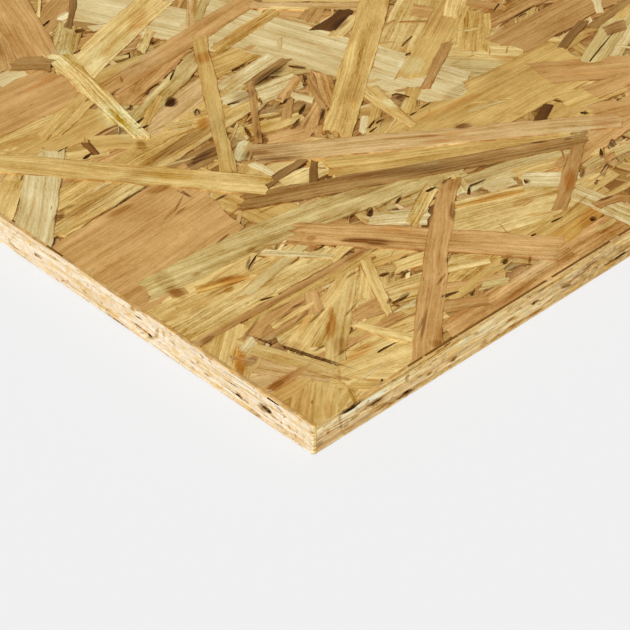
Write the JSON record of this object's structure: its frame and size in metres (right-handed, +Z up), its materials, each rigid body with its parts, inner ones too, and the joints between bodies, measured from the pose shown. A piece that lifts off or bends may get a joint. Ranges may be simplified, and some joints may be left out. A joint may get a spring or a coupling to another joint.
{
  "type": "osb panel",
  "caption": "Oriented strand board sheet of pressed softwood strands with square sawn edges, for floors, walls and roofs.",
  "frame": {"origin": "middle of the underside, half way along the length and the width", "axes": "+X along the length, which is the way the face strands run, +Y across the width, +Z up through the thickness"},
  "size_m": [2.44, 1.22, 0.011],
  "materials": {
    "osb": "pressed strands, unsanded"
  },
  "bodies": {
    "root": {"osb_panel": "osb"}
  },
  "joints": []
}
